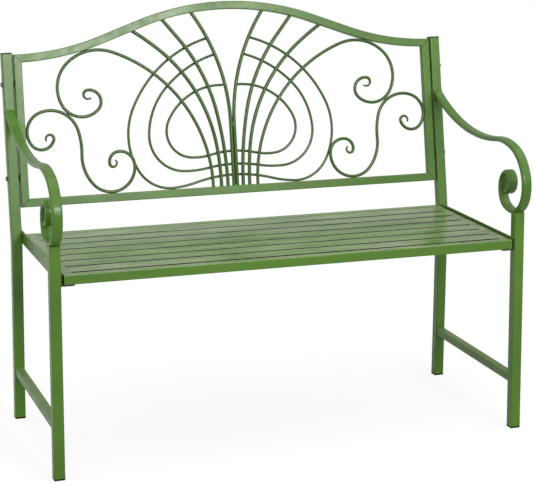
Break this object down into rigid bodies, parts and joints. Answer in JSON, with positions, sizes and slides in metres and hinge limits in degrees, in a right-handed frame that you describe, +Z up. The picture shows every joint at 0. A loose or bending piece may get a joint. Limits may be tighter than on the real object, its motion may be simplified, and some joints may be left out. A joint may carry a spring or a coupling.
{
  "type": "garden bench",
  "caption": "Metal garden bench with square-tube legs, slatted seat, scrolled armrests and an arched back panel filled with a fan of bars, long rings and scrolls.",
  "frame": {"origin": "on the ground under the middle of the bench, centre of the bottom of the bounding box", "axes": "+X to the right along the bench's length as a viewer in front sees it, +Y to the back, +Z up; the front of the seat faces -Y"},
  "size_m": [1.1532, 0.6006, 1.0047],
  "materials": {
    "green_powder_coat": "semi-gloss leaf-green powder coat over steel",
    "black_plastic": "matt black moulded plastic",
    "bolt_steel": "dark zinc-plated steel"
  },
  "bodies": {
    "root": {"left_front_leg": "green_powder_coat", "right_front_leg": "green_powder_coat", "left_rear_post": "green_powder_coat", "right_rear_post": "green_powder_coat", "left_armrest": "green_powder_coat", "right_armrest": "green_powder_coat", "left_stretcher": "green_powder_coat", "right_stretcher": "green_powder_coat", "left_seat_angle": "green_powder_coat", "right_seat_angle": "green_powder_coat", "seat_front_rail": "green_powder_coat", "seat_rear_rail": "green_powder_coat", "seat_left_end_rail": "green_powder_coat", "seat_right_end_rail": "green_powder_coat", "seat_left_bearer": "green_powder_coat", "seat_right_bearer": "green_powder_coat", "seat_slat_1": "green_powder_coat", "seat_slat_2": "green_powder_coat", "seat_slat_3": "green_powder_coat", "seat_slat_4": "green_powder_coat", "seat_slat_5": "green_powder_coat", "seat_slat_6": "green_powder_coat", "seat_slat_7": "green_powder_coat", "top_rail": "green_powder_coat", "bottom_rail": "green_powder_coat", "left_stile": "green_powder_coat", "right_stile": "green_powder_coat", "left_fan_bar_inner": "green_powder_coat", "left_fan_bar_middle": "green_powder_coat", "left_fan_bar_outer": "green_powder_coat", "right_fan_bar_inner": "green_powder_coat", "right_fan_bar_middle": "green_powder_coat", "right_fan_bar_outer": "green_powder_coat", "left_c_scroll": "green_powder_coat", "left_s_scroll": "green_powder_coat", "right_c_scroll": "green_powder_coat", "right_s_scroll": "green_powder_coat", "ring_outer": "green_powder_coat", "ring_middle": "green_powder_coat", "ring_inner": "green_powder_coat", "left_front_foot": "black_plastic", "right_front_foot": "black_plastic", "left_rear_foot": "black_plastic", "right_rear_foot": "black_plastic", "left_post_cap": "black_plastic", "right_post_cap": "black_plastic", "back_spacers": "black_plastic", "back_bolts": "bolt_steel", "back_bolt_washers": "bolt_steel", "back_rivet_nuts": "bolt_steel", "seat_bolts": "bolt_steel", "seat_rivet_nuts": "bolt_steel"}
  },
  "joints": []
}
